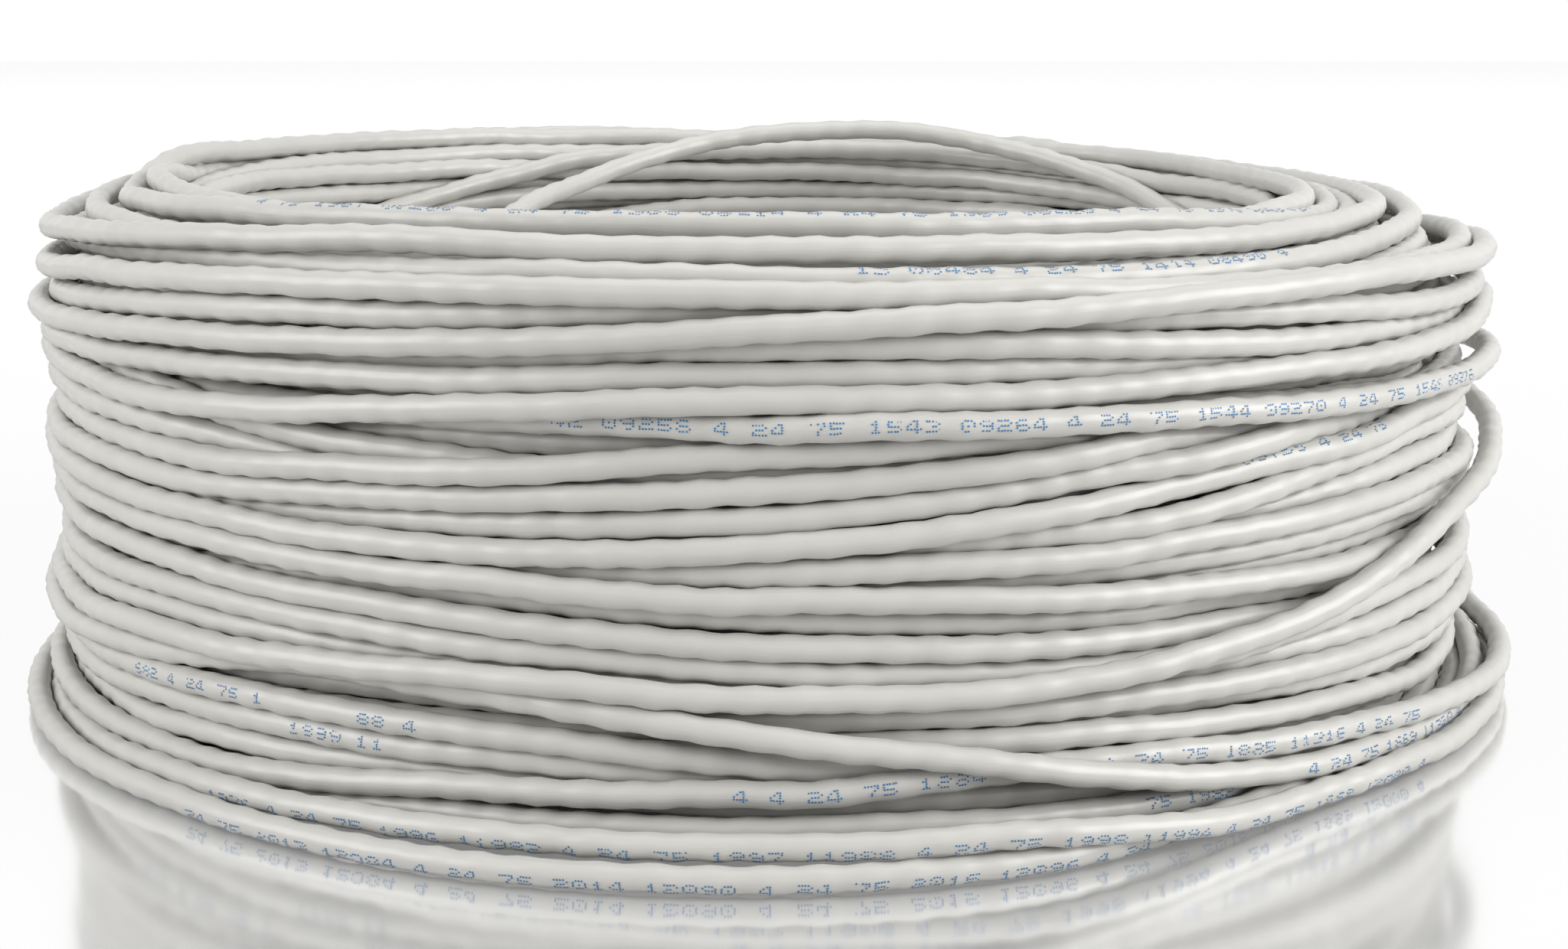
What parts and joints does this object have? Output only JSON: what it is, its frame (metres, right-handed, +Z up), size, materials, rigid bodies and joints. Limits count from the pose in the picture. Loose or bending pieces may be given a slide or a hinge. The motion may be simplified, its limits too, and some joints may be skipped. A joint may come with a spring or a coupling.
{
  "type": "network cable coil",
  "caption": "Loosely wound bare coil of grey twisted-pair network cable lying flat, with an open eye, slack turns round the outside and a loose turn rising across the eye.",
  "frame": {"origin": "middle of the whole coil's box at the level of the floor that it lies on", "axes": "+Z up, along the axis of the coil's eye; -Y towards the front, where the slack turns lie; +X to the right"},
  "size_m": [0.3356, 0.3342, 0.1169],
  "materials": {
    "jacket": "satin warm light grey PVC",
    "rip_cord": "spun undyed fibre",
    "copper": "bright bare copper, freshly cut",
    "blue_insulation": "smooth polyethylene",
    "white_blue_insulation": "smooth polyethylene, white tinted blue",
    "orange_insulation": "smooth polyethylene",
    "white_orange_insulation": "smooth polyethylene, white tinted orange",
    "green_insulation": "smooth polyethylene",
    "white_green_insulation": "smooth polyethylene, white tinted green",
    "brown_insulation": "smooth polyethylene",
    "white_brown_insulation": "smooth polyethylene, white tinted brown"
  },
  "bodies": {
    "root": {"inner_windings": "jacket", "outer_windings": "jacket", "base_turn": "jacket", "second_turn": "jacket", "crossing_strand": "jacket", "side_loop": "jacket", "printed_turn": "jacket", "arch_strand": "jacket", "outer_end_jacket": "jacket", "outer_end_rip_cord": "rip_cord", "outer_end_blue_insulation": "blue_insulation", "outer_end_blue_conductor": "copper", "outer_end_white_blue_insulation": "white_blue_insulation", "outer_end_white_blue_conductor": "copper", "outer_end_orange_insulation": "orange_insulation", "outer_end_orange_conductor": "copper", "outer_end_white_orange_insulation": "white_orange_insulation", "outer_end_white_orange_conductor": "copper", "outer_end_green_insulation": "green_insulation", "outer_end_green_conductor": "copper", "outer_end_white_green_insulation": "white_green_insulation", "outer_end_white_green_conductor": "copper", "outer_end_brown_insulation": "brown_insulation", "outer_end_brown_conductor": "copper", "outer_end_white_brown_insulation": "white_brown_insulation", "outer_end_white_brown_conductor": "copper", "inner_end_jacket": "jacket", "inner_end_rip_cord": "rip_cord", "inner_end_blue_insulation": "blue_insulation", "inner_end_blue_conductor": "copper", "inner_end_white_blue_insulation": "white_blue_insulation", "inner_end_white_blue_conductor": "copper", "inner_end_orange_insulation": "orange_insulation", "inner_end_orange_conductor": "copper", "inner_end_white_orange_insulation": "white_orange_insulation", "inner_end_white_orange_conductor": "copper", "inner_end_green_insulation": "green_insulation", "inner_end_green_conductor": "copper", "inner_end_white_green_insulation": "white_green_insulation", "inner_end_white_green_conductor": "copper", "inner_end_brown_insulation": "brown_insulation", "inner_end_brown_conductor": "copper", "inner_end_white_brown_insulation": "white_brown_insulation", "inner_end_white_brown_conductor": "copper"}
  },
  "joints": []
}
